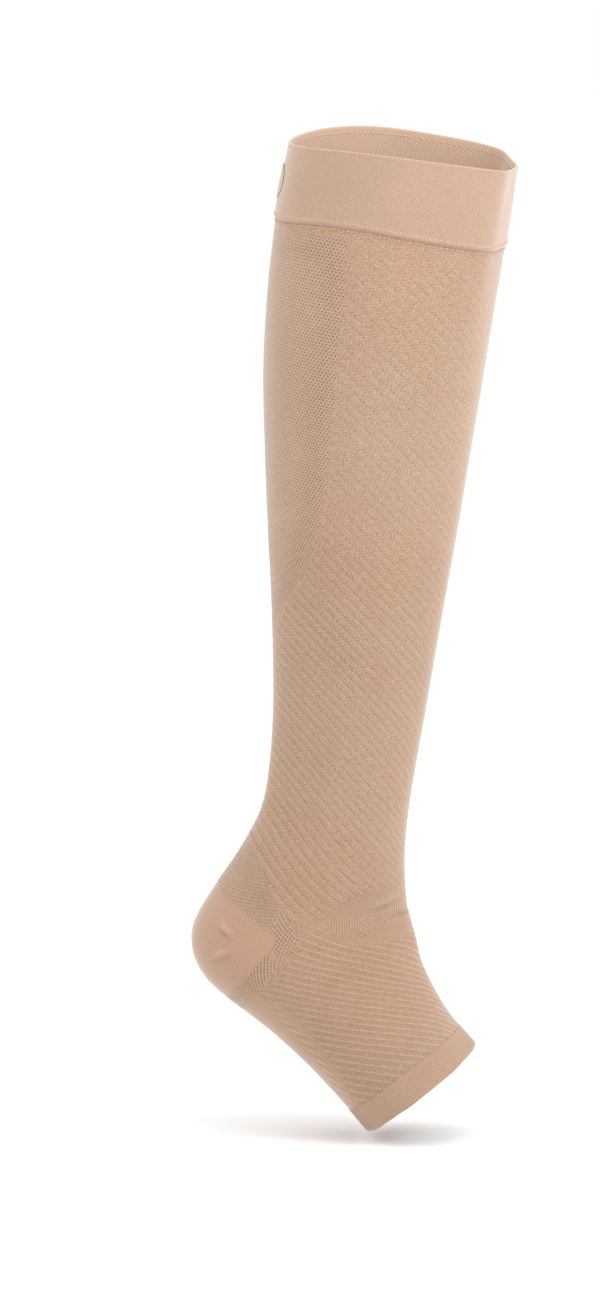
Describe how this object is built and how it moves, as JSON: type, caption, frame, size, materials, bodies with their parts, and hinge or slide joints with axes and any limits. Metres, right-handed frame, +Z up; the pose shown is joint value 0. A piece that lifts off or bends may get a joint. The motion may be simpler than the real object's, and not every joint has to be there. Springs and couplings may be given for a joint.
{
  "type": "open-toe knee-high compression stocking",
  "caption": "Knee-high compression stocking with an open toe, filled out as worn: wide top band, tapering knitted leg, heel pocket, angled foot and ribbed toe band.",
  "frame": {"origin": "middle of the top band, on the tube's middle line, where the wearer's leg holds the stocking", "axes": "+Z up the leg as worn (the leg leans 6 degrees forward), +X forward to the shin and the toes, +Y to the wearer's left"},
  "size_m": [0.16, 0.1046, 0.4919],
  "materials": {
    "top_band_knit": "matte beige doubled knit with a fine diagonal twill",
    "leg_knit": "matte beige elastic knit with diagonal ribs, plain sides and honeycomb mesh panels",
    "heel_knit": "matte rosy beige smooth knit",
    "toe_band_knit": "matte rosy beige fine rib",
    "label_patch": "smooth pale patch, blank"
  },
  "bodies": {
    "root": {"top_band": "top_band_knit", "back_label": "label_patch", "leg": "leg_knit", "heel_pocket": "heel_knit", "foot": "leg_knit", "toe_band": "toe_band_knit"}
  },
  "joints": []
}
